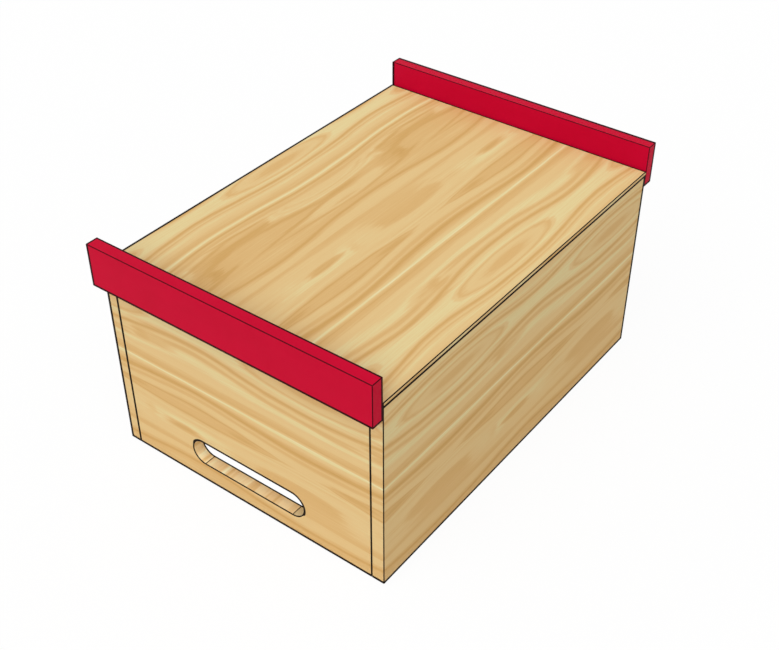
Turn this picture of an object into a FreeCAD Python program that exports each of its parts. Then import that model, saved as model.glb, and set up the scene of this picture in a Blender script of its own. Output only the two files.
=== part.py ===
import FreeCAD, Part
import math
import os
import re

import Sketcher

# Toy box of flat boards, standing on its open rim with its closed panel on top.
# Frame: X across the box, Y along it with the front end at -Y, Z up from the rim.
# Two long sides run the full length. Two ends sit between them, each with a hand slot near the rim.
# A thin base panel closes the box, and a cleat across each end stands above it.

# Driving dimensions in millimetres and degrees: name, value, what it measures.
SIZE_TABLE = [
    ("box_width", 444.5, "outside width of the box, and length of each cleat"),
    ("box_length", 609.6, "outside length of the box without the cleats"),
    ("wall_height", 292.1, "height of the sides and ends, from the rim to the base panel"),
    ("board_thick", 19.05, "thickness of the sides and ends"),
    ("base_thick", 6.35, "thickness of the base panel"),
    ("cleat_height", 63.5, "height of a cleat"),
    ("cleat_thick", 19.05, "thickness of a cleat"),
    ("cleat_lap", 25.4, "how far a cleat laps down the box from the face of the base panel"),
    ("slot_length", 190.5, "hand slot, end to end"),
    ("slot_height", 38.1, "hand slot, across its round ends"),
    ("slot_setback", 50.8, "middle of the hand slot, from the rim"),
    ("board_ease", 0.8, "width of the small bevel on every edge of a board"),
    ("cleat_ease", 0.8, "width of the small bevel on every edge of a cleat"),
    ("slot_ease", 0.3, "width of the bevel round both mouths of a hand slot"),
    ("pocket_angle", 15.0, "slope of a pocket hole against the face of its board"),
    ("pocket_play", 0.9, "how much wider a pocket hole is than the head of its screw"),
    ("pocket_seat", 16.0, "wood left under a pocket screw's head, along the screw"),
    ("pocket_setback", 38.1, "first and last pocket screw, from the edges of the board"),
    ("pockets_per_joint", 3, "number of pocket screws in each corner joint"),
    ("pocket_screw_length", 31.75, "pocket screw, under its head"),
    ("pocket_screw_shank", 3.8, "diameter of a pocket screw's shank"),
    ("pocket_screw_head", 8.6, "diameter of a pocket screw's head"),
    ("pocket_screw_crown", 2.4, "thickness of a pocket screw's head"),
    ("cleat_screw_length", 31.75, "cleat screw, with its head"),
    ("cleat_screw_shank", 4.2, "diameter of a cleat screw's shank"),
    ("cleat_screw_head", 8.4, "diameter of a cleat screw's head"),
    ("sink_angle", 82.0, "full angle of a cleat screw's head and of its countersink"),
    ("screw_point", 6.0, "length of the point of a screw"),
    ("screw_tip", 0.8, "width of the blunt end of a screw's point"),
    ("screw_play", 0.4, "how much wider a clearance hole is than the shank"),
    ("drive_width", 2.8, "square drive in a screw head, across its flats"),
    ("drive_depth", 1.6, "depth of the square drive"),
    ("set_depth", 0.8, "how far nails and cleat screws are set below the surface, to be filled"),
    ("nail_length", 25.4, "base panel nail, with its head"),
    ("nail_width", 1.3, "width of a nail, which is flat wire"),
    ("nail_thick", 1.0, "thickness of a nail"),
    ("nail_head", 2.0, "width of a nail's head"),
    ("nail_crown", 0.8, "thickness of a nail's head"),
    ("nail_point", 2.5, "length of the chisel point of a nail"),
    ("nail_setback_side", 38.1, "first and last nail of a side, from the ends of the box"),
    ("nail_setback_end", 50.8, "first and last nail of an end, from the inside of the sides"),
    ("nails_per_side", 7, "number of nails along each side"),
    ("nails_per_end", 5, "number of nails along each end"),
]
SIZE_NAMES = {name for name, value, meaning in SIZE_TABLE}

# Places and sizes that several pieces share, as formulas on the names above.
BASE_FACE = "wall_height + base_thick"
CLEAT_TOP = "wall_height + base_thick + cleat_height - cleat_lap"
CLEAT_FACE = "(box_length / 2 + cleat_thick)"
INSIDE_WIDTH = "(box_width - 2 * board_thick)"
SIDE_MIDDLE = "(box_width / 2 - board_thick / 2)"
END_MIDDLE = "(box_length / 2 - board_thick / 2)"
SIDE_NAIL_START = "nail_setback_side - box_length / 2"
SIDE_NAIL_RUN = "box_length - 2 * nail_setback_side"
END_NAIL_START = f"nail_setback_end - {INSIDE_WIDTH} / 2"
END_NAIL_RUN = f"({INSIDE_WIDTH} - 2 * nail_setback_end)"
POCKET_BORE = "(pocket_screw_head + pocket_play)"
POCKET_RUN = "wall_height - 2 * pocket_setback"
SEAT_X = "(box_width / 2 - board_thick - pocket_seat * cos(pocket_angle))"
SEAT_Y = "(box_length / 2 - board_thick / 2 - pocket_seat * sin(pocket_angle))"
# A cleat screw goes in midway between the last two nails of its end, so it misses them.
CLEAT_SCREW_X = f"({END_NAIL_RUN} / 2 * (nails_per_end - 2) / (nails_per_end - 1))"
CLEAT_SCREW_Z = "wall_height - (cleat_lap - base_thick) / 2"
CLEAT_SCREW_CONE = "(cleat_screw_head - cleat_screw_shank) / 2 / tan(sink_angle / 2)"
CLEAT_SINK_MOUTH = "cleat_screw_head + 2 * set_depth * tan(sink_angle / 2)"

# Which half of the box a piece is in, across it and along it.
LEFT, RIGHT = -1, 1
FRONT, REAR = -1, 1

# A screw's shank has this many flat sides in place of its thread, and so has the hole it cuts.
SHANK_SIDES = 8

# The points of a sketch line or arc, and the sketch's own origin, as constraints number them.
START, END, MIDDLE = 1, 2, 3
ORIGIN = (-1, 1)

# An edge that spans less than this many millimetres one way lies flat that way.
FLAT = 1e-6

doc = FreeCAD.newDocument("toy_box")


def make_sheet():
    """The spreadsheet that holds every driving dimension."""
    table = doc.addObject("Spreadsheet::Sheet", "sizes")
    for row, (name, value, meaning) in enumerate(SIZE_TABLE, start=1):
        table.set(f"A{row}", meaning)
        table.set(f"B{row}", str(value))
        table.setAlias(f"B{row}", name)
    doc.recompute()
    return table


sheet = make_sheet()


def formula(text):
    """The same formula with each size name pointing at its cell of the sheet."""
    return re.sub(r"[a-z_]+", lambda m: f"sizes.{m[0]}" if m[0] in SIZE_NAMES else m[0], text)


def bind(thing, **settings):
    """Ties properties of a thing to formulas on the sizes."""
    for name, text in settings.items():
        thing.setExpression(name.replace("__", "."), formula(text))


def worth(sketch, text):
    """The present value of a formula, as a starting point for sketch geometry."""
    return float(sketch.evalExpression(formula(text)))


def new_body(label):
    body = doc.addObject("PartDesign::Body", label)
    body.Label = label
    return body


def datum(body, role):
    """One of the body's own origin planes or axes."""
    return next(item for item in body.Origin.OriginFeatures if item.Role == role)


def new_sketch(body, name, plane, x="0", y="0", lift="0"):
    """A sketch on an origin plane, moved in that plane and lifted along its normal."""
    sketch = body.newObject("Sketcher::SketchObject", name)
    sketch.AttachmentSupport = (datum(body, plane), [""])
    sketch.MapMode = "FlatFace"
    bind(
        sketch,
        AttachmentOffset__Base__x=x,
        AttachmentOffset__Base__y=y,
        AttachmentOffset__Base__z=lift,
    )
    return sketch


def turn_sketch(sketch, axis, angle):
    """Turns a sketch about one of its own axes, X, Y or Z."""
    bind(
        sketch,
        AttachmentOffset__Rotation__Axis__x=str(int(axis == "X")),
        AttachmentOffset__Rotation__Axis__y=str(int(axis == "Y")),
        AttachmentOffset__Rotation__Axis__z=str(int(axis == "Z")),
        AttachmentOffset__Rotation__Angle=angle,
    )


def tie(sketch, name, kind, target, text):
    """A sketch dimension that follows a formula on the sizes."""
    made = sketch.addConstraint(Sketcher.Constraint(kind, *target, worth(sketch, text)))
    sketch.renameConstraint(made, name)
    sketch.setExpression(f"Constraints.{name}", formula(text))


def tie_point(sketch, name, point, x, y):
    """Places a point of a sketch, given as its line and which end, by formulas on the sizes."""
    tie(sketch, f"{name}_x", "DistanceX", (*ORIGIN, *point), x)
    tie(sketch, f"{name}_y", "DistanceY", (*ORIGIN, *point), y)


def draw_outline(sketch, corners):
    """A closed run of straight lines through corners given as formulas."""
    spots = [FreeCAD.Vector(worth(sketch, x), worth(sketch, y), 0) for x, y in corners]
    count = len(spots)
    for i in range(count):
        sketch.addGeometry(Part.LineSegment(spots[i], spots[(i + 1) % count]), False)
    for i in range(count):
        following = (i + 1) % count
        sketch.addConstraint(Sketcher.Constraint("Coincident", i, END, following, START))
    for i, (x, y) in enumerate(corners):
        tie_point(sketch, f"corner{i}", (i, START), x, y)


def draw_rectangle(sketch, left, right, low, high):
    draw_outline(sketch, [(left, low), (right, low), (right, high), (left, high)])


def draw_polygon(sketch, across, sides):
    """A regular polygon about the sketch's origin, measured across its corners."""
    angles = [(i + 0.5) * 360 / sides for i in range(sides)]
    reach = f"({across}) / 2"
    draw_outline(sketch, [(f"{reach} * cos({a})", f"{reach} * sin({a})") for a in angles])


def draw_square(sketch, across):
    half = f"({across}) / 2"
    draw_rectangle(sketch, f"-{half}", half, f"-{half}", half)


def draw_circle(sketch, name, x, y, across):
    """A circle on formulas, added to whatever the sketch holds already."""
    middle = FreeCAD.Vector(worth(sketch, x), worth(sketch, y), 0)
    circle = Part.Circle(middle, FreeCAD.Vector(0, 0, 1), worth(sketch, across) / 2)
    index = sketch.addGeometry(circle, False)
    tie_point(sketch, name, (index, MIDDLE), x, y)
    tie(sketch, f"{name}_across", "Diameter", (index,), across)


def draw_slot(sketch, length, height, level):
    """A slot with half-round ends, centred on the sketch's vertical axis."""
    half_run = f"({length} - {height}) / 2"
    radius = f"{height} / 2"
    reach, curve, up = worth(sketch, half_run), worth(sketch, radius), worth(sketch, level)
    for side, start in ((RIGHT, -math.pi / 2), (LEFT, math.pi / 2)):
        middle = FreeCAD.Vector(side * reach, up, 0)
        circle = Part.Circle(middle, FreeCAD.Vector(0, 0, 1), curve)
        sketch.addGeometry(Part.ArcOfCircle(circle, start, start + math.pi), False)
    for side in (RIGHT, LEFT):
        first = FreeCAD.Vector(side * reach, up + side * curve, 0)
        second = FreeCAD.Vector(-side * reach, up + side * curve, 0)
        sketch.addGeometry(Part.LineSegment(first, second), False)
    right_arc, left_arc, top_line, bottom_line = range(4)
    for one, other in (
        (right_arc, top_line),
        (top_line, left_arc),
        (left_arc, bottom_line),
        (bottom_line, right_arc),
    ):
        sketch.addConstraint(Sketcher.Constraint("Tangent", one, END, other, START))
    tie_point(sketch, "right", (right_arc, MIDDLE), half_run, level)
    tie_point(sketch, "left", (left_arc, MIDDLE), f"-{half_run}", level)
    tie(sketch, "round", "Radius", (right_arc,), radius)


def pad(body, name, sketch, length, backwards=False, both_ways=False):
    """Material along the sketch's normal, against it, or half to each side of the sketch."""
    made = body.newObject("PartDesign::Pad", name)
    made.Profile = sketch
    made.Reversed = backwards
    made.Midplane = both_ways
    bind(made, Length=length)
    return made


def ease_all_edges(body, width):
    """Bevels every edge that the body has so far."""
    doc.recompute()
    whole = body.Tip
    made = body.newObject("PartDesign::Chamfer", "eased_edges")
    made.Base = (whole, [""])
    made.UseAllEdges = True
    bind(made, Size=width)


def start_cut(body, kind, name, sketch):
    """A new pocket, groove or hole, with the volume that the body has before it."""
    doc.recompute()
    before = body.Tip.Shape.Volume
    made = body.newObject(kind, name)
    made.Profile = sketch
    return made, before


def end_cut(made, before):
    """Computes a cut and makes sure that it took something away."""
    doc.recompute()
    if not made.Shape.Volume < before:
        raise SystemExit(f"{made.Name} cuts nothing")
    return made


def pocket(body, name, sketch, length, along_normal=False, both_ways=False):
    """A cut against the sketch's normal, along it, or half to each side of the sketch."""
    made, before = start_cut(body, "PartDesign::Pocket", name, sketch)
    made.Reversed = along_normal
    made.Midplane = both_ways
    bind(made, Length=length)
    return end_cut(made, before)


def solid_loft(body, name, sections):
    """Material through sections, with straight sides."""
    made = body.newObject("PartDesign::AdditiveLoft", name)
    made.Profile = sections[0]
    made.Sections = sections[1:]
    made.Ruled = True
    return made


def cut_loft(body, name, sections):
    """A cut through sections, with straight sides."""
    made, before = start_cut(body, "PartDesign::SubtractiveLoft", name, sections[0])
    made.Sections = sections[1:]
    made.Ruled = True
    return end_cut(made, before)


def repeat(body, name, features, axis, run, count):
    """Copies features in a row along one of the body's axes, evenly over the whole run."""
    row = body.newObject("PartDesign::LinearPattern", name)
    row.Originals = features
    row.Direction = (datum(body, axis), [""])
    bind(row, Length=run, Occurrences=count)
    body.Tip = row


# Pocket screws. Each corner's lowest one is seated in the middle of its end board's thickness and
# slopes out through the joint into the side. The others stand above it.


def square_to_pocket_screw(body, name, side, end, along):
    """A sketch square to a corner's lowest pocket screw, some way past the screw's seat."""
    sketch = new_sketch(
        body,
        name,
        "YZ_Plane",
        x=f"{end} * ({SEAT_Y} + ({along}) * sin(pocket_angle))",
        y="pocket_setback",
        lift=f"{side} * ({SEAT_X} + ({along}) * cos(pocket_angle))",
    )
    turn_sketch(sketch, "Y", f"{90 * (1 - side)} + {side * end} * pocket_angle")
    return sketch


def pocket_shank(body, side, end):
    """Sections of a pocket screw's shank: at its seat, where its point begins, and at its tip."""
    sections = []
    for name, along, across in (
        ("shank_start", "0", "pocket_screw_shank"),
        ("point_start", "pocket_screw_length - screw_point", "pocket_screw_shank"),
        ("tip", "pocket_screw_length", "screw_tip"),
    ):
        sketch = square_to_pocket_screw(body, name, side, end, along)
        draw_polygon(sketch, across, SHANK_SIDES)
        sections.append(sketch)
    return sections


def pocket_row(body, name, features):
    repeat(body, name, features, "Z_Axis", POCKET_RUN, "pockets_per_joint")


def pocket_holes(body, name, side, end):
    """The drilled pockets of one corner in an end board, with the holes their screws cut."""
    seat = square_to_pocket_screw(body, f"{name}_seat", side, end, "0")
    draw_circle(seat, "bore", "0", "0", POCKET_BORE)
    way_out = f"(board_thick + {POCKET_BORE}) / 2 / sin(pocket_angle)"
    bore = pocket(body, f"{name}_bore", seat, way_out)
    hole = cut_loft(body, f"{name}_shank_hole", pocket_shank(body, side, end))
    pocket_row(body, f"{name}_pockets", [bore, hole])


def pocket_screw_holes(body, name, side, end):
    """The holes that the pocket screws of one corner cut in a side board."""
    hole = cut_loft(body, f"{name}_shank_hole", pocket_shank(body, side, end))
    pocket_row(body, f"{name}_shank_holes", [hole])


# Cleat screws. Each goes in from the outer face of a cleat, square to it, and into the end board.


def square_to_cleat_screw(body, name, end, along):
    """A sketch square to the left screw of a cleat, some way in from the cleat's outer face."""
    lift = f"{-end} * ({CLEAT_FACE} - ({along}))"
    return new_sketch(body, name, "XZ_Plane", x=f"-{CLEAT_SCREW_X}", y=CLEAT_SCREW_Z, lift=lift)


def cleat_shank(body, end):
    """Sections of a cleat screw's shank: under its head, where its point begins, and at its tip."""
    sections = []
    for name, along, across in (
        ("shank_start", f"set_depth + {CLEAT_SCREW_CONE}", "cleat_screw_shank"),
        ("point_start", "set_depth + cleat_screw_length - screw_point", "cleat_screw_shank"),
        ("tip", "set_depth + cleat_screw_length", "screw_tip"),
    ):
        sketch = square_to_cleat_screw(body, name, end, along)
        draw_polygon(sketch, across, SHANK_SIDES)
        sections.append(sketch)
    return sections


def cleat_head(body, end):
    """The flat countersunk head of a cleat's left screw, turned about the screw's axis."""
    profile = new_sketch(
        body,
        "head_profile",
        "XY_Plane",
        x=f"-{CLEAT_SCREW_X}",
        y=f"{end} * {CLEAT_FACE}",
        lift=CLEAT_SCREW_Z,
    )
    turn_sketch(profile, "Z", f"{-end * 90}")
    corners = [
        ("set_depth", "0"),
        ("set_depth", "cleat_screw_head / 2"),
        (f"set_depth + {CLEAT_SCREW_CONE}", "cleat_screw_shank / 2"),
        (f"set_depth + {CLEAT_SCREW_CONE}", "0"),
    ]
    draw_outline(profile, corners)
    made = body.newObject("PartDesign::Revolution", "head")
    made.Profile = profile
    made.ReferenceAxis = (profile, ["H_Axis"])
    made.Angle = 360
    return made


def cleat_pair(body, name, features):
    repeat(body, name, features, "X_Axis", f"2 * {CLEAT_SCREW_X}", "2")


# Nails. Each is flat wire with a small head and a chisel point, driven down through the panel.


def nail_outline(top):
    """A nail seen from its side, down from the panel's face, with its top at a given level."""
    head, wire = "nail_head / 2", "nail_width / 2"
    under_head = "-(set_depth + nail_crown)"
    point = "-(set_depth + nail_length - nail_point)"
    return [
        (f"-{head}", top),
        (f"-{head}", under_head),
        (f"-{wire}", under_head),
        (f"-{wire}", point),
        ("0", "-(set_depth + nail_length)"),
        (wire, point),
        (wire, under_head),
        (head, under_head),
        (head, top),
    ]


NAIL = nail_outline("-set_depth")
NAIL_HOLE = nail_outline("0")


def side_nail_sketch(body, name, side, outline):
    """The outline of a side's first nail."""
    place = {"x": SIDE_NAIL_START, "y": BASE_FACE, "lift": f"{side} * {SIDE_MIDDLE}"}
    sketch = new_sketch(body, name, "YZ_Plane", **place)
    draw_outline(sketch, outline)
    return sketch


def end_nail_sketch(body, name, end, outline):
    """The outline of an end's first nail."""
    place = {"x": END_NAIL_START, "y": BASE_FACE, "lift": f"{-end} * {END_MIDDLE}"}
    sketch = new_sketch(body, name, "XZ_Plane", **place)
    draw_outline(sketch, outline)
    return sketch


def side_nail_holes(body, name, side):
    sketch = side_nail_sketch(body, f"{name}_outline", side, NAIL_HOLE)
    hole = pocket(body, f"{name}_hole", sketch, "nail_thick", both_ways=True)
    repeat(body, f"{name}_holes", [hole], "Y_Axis", SIDE_NAIL_RUN, "nails_per_side")


def end_nail_holes(body, name, end):
    sketch = end_nail_sketch(body, f"{name}_outline", end, NAIL_HOLE)
    hole = pocket(body, f"{name}_hole", sketch, "nail_thick", both_ways=True)
    repeat(body, f"{name}_holes", [hole], "X_Axis", END_NAIL_RUN, "nails_per_end")


# Boards, panel and cleats.


def slot_mouth_edges(shape):
    """Names of the edges round both mouths of the hand slot."""
    reach = sheet.slot_length / 2 + sheet.slot_ease
    rise = sheet.slot_height / 2 + sheet.slot_ease
    names = []
    for number, edge in enumerate(shape.Edges, start=1):
        box = edge.BoundBox
        across = max(abs(box.XMin), abs(box.XMax)) < reach
        level = max(abs(box.ZMin - sheet.slot_setback), abs(box.ZMax - sheet.slot_setback)) < rise
        in_a_face = box.YLength < FLAT
        if across and level and in_a_face:
            names.append(f"Edge{number}")
    return names


def side_board(label, side):
    """A long side: full length, with screw holes near both ends and nail holes in its top edge."""
    body = new_body(label)
    near_plane = "box_width / 2 - board_thick" if side == RIGHT else "-box_width / 2"
    outline = new_sketch(body, "outline", "YZ_Plane", lift=near_plane)
    draw_rectangle(outline, "-box_length / 2", "box_length / 2", "0", "wall_height")
    pad(body, "board", outline, "board_thick")
    ease_all_edges(body, "board_ease")
    pocket_screw_holes(body, "front", side, FRONT)
    pocket_screw_holes(body, "rear", side, REAR)
    side_nail_holes(body, "nail", side)
    return body


def end_board(label, end):
    """A short end between the sides, with its hand slot, pocket holes and cleat screw holes."""
    body = new_body(label)
    near_plane = "box_length / 2 - board_thick" if end == FRONT else "-box_length / 2"
    outline = new_sketch(body, "outline", "XZ_Plane", lift=near_plane)
    draw_rectangle(outline, f"-{INSIDE_WIDTH} / 2", f"{INSIDE_WIDTH} / 2", "0", "wall_height")
    pad(body, "board", outline, "board_thick")
    ease_all_edges(body, "board_ease")
    slot_outline = new_sketch(body, "hand_slot_outline", "XZ_Plane", lift=near_plane)
    draw_slot(slot_outline, "slot_length", "slot_height", "slot_setback")
    slot = pocket(body, "hand_slot", slot_outline, "board_thick", along_normal=True)
    mouths = body.newObject("PartDesign::Chamfer", "slot_mouths")
    mouths.Base = (slot, slot_mouth_edges(slot.Shape))
    bind(mouths, Size="slot_ease")
    pocket_holes(body, "left", LEFT, end)
    pocket_holes(body, "right", RIGHT, end)
    hole = cut_loft(body, "cleat_shank_hole", cleat_shank(body, end))
    cleat_pair(body, "cleat_shank_holes", [hole])
    end_nail_holes(body, "nail", end)
    return body


def base_panel(label):
    """The thin panel that closes the box, nailed to the edges of the sides and ends."""
    body = new_body(label)
    outline = new_sketch(body, "outline", "XY_Plane", lift="wall_height")
    draw_rectangle(outline, "-box_width / 2", "box_width / 2", "-box_length / 2", "box_length / 2")
    pad(body, "panel", outline, "base_thick")
    ease_all_edges(body, "board_ease")
    side_nail_holes(body, "left_nail", LEFT)
    side_nail_holes(body, "right_nail", RIGHT)
    end_nail_holes(body, "front_nail", FRONT)
    end_nail_holes(body, "rear_nail", REAR)
    return body


def cleat(label, end):
    """A strip across one end of the box, with two countersunk screw holes."""
    body = new_body(label)
    near_plane = "box_length / 2" if end == FRONT else f"-{CLEAT_FACE}"
    outline = new_sketch(body, "outline", "XZ_Plane", lift=near_plane)
    low = f"{CLEAT_TOP} - cleat_height"
    draw_rectangle(outline, "-box_width / 2", "box_width / 2", low, CLEAT_TOP)
    pad(body, "strip", outline, "cleat_thick")
    ease_all_edges(body, "cleat_ease")
    shank_hole = "cleat_screw_shank + screw_play"
    centres = new_sketch(body, "hole_centres", "XZ_Plane", lift=f"{-end} * {CLEAT_FACE}")
    draw_circle(centres, "left", f"-{CLEAT_SCREW_X}", CLEAT_SCREW_Z, shank_hole)
    draw_circle(centres, "right", CLEAT_SCREW_X, CLEAT_SCREW_Z, shank_hole)
    holes, before = start_cut(body, "PartDesign::Hole", "countersunk_holes", centres)
    holes.Reversed = end == REAR
    holes.DepthType = "ThroughAll"
    holes.HoleCutType = "Countersink"
    holes.HoleCutCustomValues = True
    bind(
        holes,
        Diameter=shank_hole,
        HoleCutDiameter=CLEAT_SINK_MOUTH,
        HoleCutCountersinkAngle="sink_angle",
    )
    end_cut(holes, before)
    return body


def cleat_screws(label, end):
    """The two screws of a cleat, heads set a little below its outer face."""
    body = new_body(label)
    head = cleat_head(body, end)
    shank = solid_loft(body, "shank", cleat_shank(body, end))
    drive_outline = square_to_cleat_screw(body, "drive_outline", end, "set_depth")
    draw_square(drive_outline, "drive_width")
    drive = pocket(body, "drive", drive_outline, "drive_depth", along_normal=end == REAR)
    cleat_pair(body, "screws", [head, shank, drive])
    return body


def pocket_screws(label, side, end):
    """The pocket screws of one corner, with flat heads on the seats of their pockets."""
    body = new_body(label)
    head_outline = square_to_pocket_screw(body, "head_outline", side, end, "0")
    draw_circle(head_outline, "head", "0", "0", "pocket_screw_head")
    head = pad(body, "head", head_outline, "pocket_screw_crown", backwards=True)
    shank = solid_loft(body, "shank", pocket_shank(body, side, end))
    drive_outline = square_to_pocket_screw(body, "drive_outline", side, end, "-pocket_screw_crown")
    draw_square(drive_outline, "drive_width")
    drive = pocket(body, "drive", drive_outline, "drive_depth", along_normal=True)
    pocket_row(body, "screws", [head, shank, drive])
    return body


def side_nails(label, side):
    body = new_body(label)
    outline = side_nail_sketch(body, "nail_outline", side, NAIL)
    nail = pad(body, "nail", outline, "nail_thick", both_ways=True)
    repeat(body, "nails", [nail], "Y_Axis", SIDE_NAIL_RUN, "nails_per_side")
    return body


def end_nails(label, end):
    body = new_body(label)
    outline = end_nail_sketch(body, "nail_outline", end, NAIL)
    nail = pad(body, "nail", outline, "nail_thick", both_ways=True)
    repeat(body, "nails", [nail], "X_Axis", END_NAIL_RUN, "nails_per_end")
    return body


parts = [
    side_board("left_side", LEFT),
    side_board("right_side", RIGHT),
    end_board("front_end", FRONT),
    end_board("rear_end", REAR),
    base_panel("base_panel"),
    cleat("front_cleat", FRONT),
    cleat("rear_cleat", REAR),
    cleat_screws("front_cleat_screws", FRONT),
    cleat_screws("rear_cleat_screws", REAR),
    pocket_screws("front_left_pocket_screws", LEFT, FRONT),
    pocket_screws("front_right_pocket_screws", RIGHT, FRONT),
    pocket_screws("rear_left_pocket_screws", LEFT, REAR),
    pocket_screws("rear_right_pocket_screws", RIGHT, REAR),
    side_nails("left_side_nails", LEFT),
    side_nails("right_side_nails", RIGHT),
    end_nails("front_end_nails", FRONT),
    end_nails("rear_end_nails", REAR),
]

doc.recompute()

for item in doc.Objects:
    if {"Invalid", "Error"} & set(item.State):
        raise SystemExit(f"{item.Name} failed: {item.State}")
for part in parts:
    if part.Shape.isNull() or not part.Shape.isValid():
        raise SystemExit(f"{part.Label} has no valid shape")

os.makedirs("parts", exist_ok=True)
for part in parts:
    part.Shape.exportStep(f"parts/{part.Label}.step")
    print(f"{part.Label}: {len(part.Shape.Solids)} solids, {part.Shape.Volume:.0f} mm3")
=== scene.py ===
import math

import bpy
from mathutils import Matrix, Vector


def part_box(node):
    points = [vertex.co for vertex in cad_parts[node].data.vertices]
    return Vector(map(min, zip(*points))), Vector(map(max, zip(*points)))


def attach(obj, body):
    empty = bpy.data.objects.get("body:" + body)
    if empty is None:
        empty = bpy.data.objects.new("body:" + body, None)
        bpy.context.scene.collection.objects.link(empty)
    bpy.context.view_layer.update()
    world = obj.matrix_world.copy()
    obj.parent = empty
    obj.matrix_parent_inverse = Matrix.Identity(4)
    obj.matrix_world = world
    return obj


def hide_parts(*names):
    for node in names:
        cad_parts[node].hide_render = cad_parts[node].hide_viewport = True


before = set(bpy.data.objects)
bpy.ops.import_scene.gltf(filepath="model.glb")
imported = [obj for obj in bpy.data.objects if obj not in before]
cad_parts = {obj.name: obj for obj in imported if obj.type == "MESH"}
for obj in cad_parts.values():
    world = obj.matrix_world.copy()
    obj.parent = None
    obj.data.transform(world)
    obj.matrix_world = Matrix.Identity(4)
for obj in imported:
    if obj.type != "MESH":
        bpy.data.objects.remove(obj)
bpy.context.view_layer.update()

# A toy box that stands on its open rim. Everything is in metres and in the frame of the solids: X
# across the box, Y along it with the front end at -Y, Z up from the rim. Patterns are worked out in
# millimetres. The wood's figure lies on a sheet, along the grain and across it, and comes back
# every 15 inches, as it does in the photograph.

MM = 0.001

# Hand slots and bevels as they are cut, in millimetres.
SLOT_LENGTH = 190.5
SLOT_HEIGHT = 38.1
SLOT_SETBACK = 50.8
SLOT_BEVEL = 0.3
BEVEL = 0.8

SCREW_LENGTH = 31.75 * MM

# The pocket screws of a corner joint: how many, how far the outer ones are from the board's edges,
# their slope, how far their seats are from the joint, and the sizes of their pan heads.
POCKETS_PER_JOINT = 3
POCKET_SETBACK = 38.1 * MM
POCKET_ANGLE = math.radians(15)
POCKET_SEAT = 16 * MM
POCKET_SCREW = {
    "Length": SCREW_LENGTH,
    "Shank Width": 3.8 * MM,
    "Base Low Width": 8.6 * MM,
    "Base High Width": 8.2 * MM,
    "Base Height": 0.9 * MM,
    "Crown Low Width": 6.6 * MM,
    "Crown High Width": 5.6 * MM,
    "Crown Height": 1.5 * MM,
}

# The cleat screws, whose heads are sunk and set a little deeper than the surface, as brads are.
SET_DEPTH = 0.8 * MM
SUNK_HEAD_WIDTH = 8.4 * MM
SUNK_HEAD_PLAY = 0.2 * MM
SUNK_HEAD_RIM = 0.3 * MM
SUNK_HEAD_SLOPE = math.tan(math.radians(41))
SUNK_SHANK_WIDTH = 4.2 * MM
SUNK_HEAD_CONE = (SUNK_HEAD_WIDTH - SUNK_SHANK_WIDTH) / 2 / SUNK_HEAD_SLOPE - SUNK_HEAD_RIM
SUNK_SCREW = {
    "Length": SCREW_LENGTH - SUNK_HEAD_CONE - SUNK_HEAD_RIM,
    "Shank Width": SUNK_SHANK_WIDTH,
    "Base Low Width": SUNK_SHANK_WIDTH,
    "Base High Width": SUNK_HEAD_WIDTH - SUNK_HEAD_PLAY,
    "Base Height": SUNK_HEAD_CONE,
    "Crown Low Width": SUNK_HEAD_WIDTH - SUNK_HEAD_PLAY,
    "Crown High Width": SUNK_HEAD_WIDTH - SUNK_HEAD_PLAY,
    "Crown Height": SUNK_HEAD_RIM,
}

# The thread, point and square drive of every screw.
THREAD = {
    "Pitch": 2.1 * MM,
    "Thread Depth": 0.6 * MM,
    "Point": 6 * MM,
    "Drive Width": 2.8 * MM,
    "Drive Depth": 1.6 * MM,
}

# The share of its base that a crown sinks into, the share of a shank that is threaded, how far
# the thread stops from the tip, and how thick the tip is beside the shank.
CROWN_SINK = 0.25
THREADED_SHARE = 0.8
TIP_GAP = 0.5 * MM
TIP_SHARE = 0.12

# How finely round things are divided, and how far faces turn at an edge that looks sharp.
HEAD_SIDES = 32
SHANK_SIDES, SHANK_STEPS = 16, 24
STEPS_PER_TURN = 16
THREAD_SIDES = 4
SHARP_ANGLE = math.radians(32)

# Brads that hold the panel, how far the outer ones are from the corners, and the pits over them.
NAILS_PER_SIDE, NAIL_SETBACK_SIDE = 7, 38.1 * MM
NAILS_PER_END, NAIL_SETBACK_END = 5, 50.8 * MM
PIT_LENGTH, PIT_WIDTH = 2.0 * MM, 1.0 * MM


def linear(*srgb):
    """A colour given as it looks on a screen, 0 to 255, turned into light."""
    shares = (c / 255 for c in srgb)
    return (*(s / 12.92 if s <= 0.04045 else ((s + 0.055) / 1.055) ** 2.4 for s in shares), 1.0)


class Value:
    """What one socket gives. Arithmetic on it adds the nodes that work it out."""

    def __init__(self, nodes, socket):
        self.nodes = nodes
        self.socket = socket

    def __add__(self, other):
        return self.nodes.maths("ADD", self, other)

    def __sub__(self, other):
        return self.nodes.maths("SUBTRACT", self, other)

    def __rsub__(self, other):
        return self.nodes.maths("SUBTRACT", other, self)

    def __mul__(self, other):
        return self.nodes.maths("MULTIPLY", self, other)

    def __truediv__(self, other):
        return self.nodes.maths("DIVIDE", self, other)

    def __mod__(self, other):
        return self.nodes.maths("FLOORED_MODULO", self, other)

    def __pow__(self, other):
        return self.nodes.maths("POWER", self, other)

    def __gt__(self, other):
        return self.nodes.maths("GREATER_THAN", self, other)

    def __lt__(self, other):
        return self.nodes.maths("LESS_THAN", self, other)

    def __abs__(self):
        return self.nodes.maths("ABSOLUTE", self)

    __radd__ = __add__
    __rmul__ = __mul__


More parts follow.
